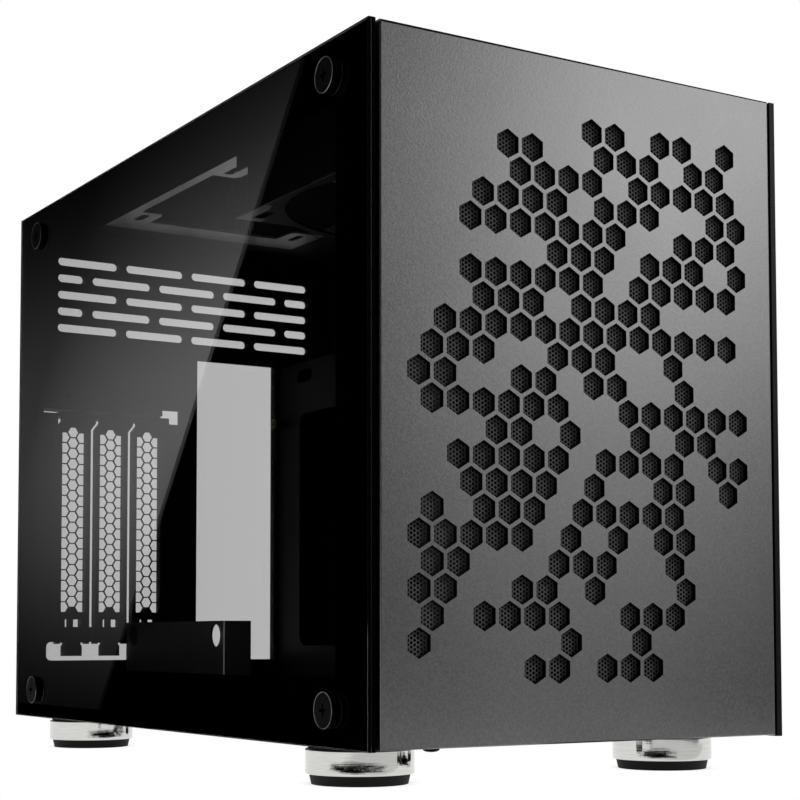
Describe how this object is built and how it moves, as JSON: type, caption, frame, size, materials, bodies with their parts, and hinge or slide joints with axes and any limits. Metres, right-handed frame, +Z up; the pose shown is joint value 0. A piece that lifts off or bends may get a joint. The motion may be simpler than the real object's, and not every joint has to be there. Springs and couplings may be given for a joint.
{
  "type": "mini itx pc case",
  "caption": "Upright small computer case with a hexagon-perforated metal front, a dark glass side, vented rear with slot covers, and round polished feet.",
  "frame": {"origin": "centre of the base, at the height of the soles of the feet", "axes": "+Z up, +Y from the perforated front to the rear wall, +X to the right as seen from the front"},
  "size_m": [0.1912, 0.3564, 0.2626],
  "materials": {
    "tinted_glass": "polished, smoked, with a printed black border",
    "side_paint": "fine satin black",
    "front_metal": "bead blasted, dark grey",
    "mesh": "fine black mesh",
    "bare_plate": "satin",
    "body_paint": "fine matt black",
    "black_screw": "smooth black",
    "washer_rubber": "matt",
    "zinc_steel": "zinc plated",
    "port_shell": "plain plated",
    "black_plastic": "matt",
    "board": "satin",
    "button_metal": "bead blasted",
    "standoff_brass": "turned",
    "foot_chrome": "polished",
    "sole_rubber": "matt"
  },
  "bodies": {
    "case": {"board_standoffs": "standoff_brass", "bottom_channel": "body_paint", "button_housing": "black_plastic", "cage_screws": "black_screw", "clamp_screws": "black_screw", "foot_ring_fl": "foot_chrome", "foot_ring_fr": "foot_chrome", "foot_ring_rl": "foot_chrome", "foot_ring_rr": "foot_chrome", "foot_screws": "zinc_steel", "foot_sole_fl": "sole_rubber", "foot_sole_fr": "sole_rubber", "foot_sole_rl": "sole_rubber", "foot_sole_rr": "sole_rubber", "foot_spacers": "washer_rubber", "front_frame": "body_paint", "front_mesh": "mesh", "front_panel": "front_metal", "front_ports": "port_shell", "front_studs": "zinc_steel", "glass_bushes": "zinc_steel", "glass_panel": "tinted_glass", "glass_screws": "black_screw", "glass_washers": "washer_rubber", "hanging_cage": "body_paint", "motherboard_tray": "body_paint", "port_board": "board", "rear_panel": "body_paint", "right_bushes": "zinc_steel", "right_panel": "side_paint", "right_screws": "black_screw", "right_washers": "washer_rubber", "riser_bracket": "body_paint", "roof_bracket": "bare_plate", "roof_mesh": "mesh", "slot_clamp": "body_paint", "slot_cover_1": "body_paint", "slot_cover_2": "body_paint", "slot_cover_3": "body_paint", "slot_screws": "black_screw", "stud_sockets": "black_plastic", "top_channel": "body_paint"},
    "button": {"power_button": "button_metal"}
  },
  "joints": [
    {"name": "power_press", "type": "slide", "parent": "case", "child": "button", "axis": [0, 0, -1], "range_m": [0, 0.0015], "stiffness_N_per_m": 1000}
  ]
}
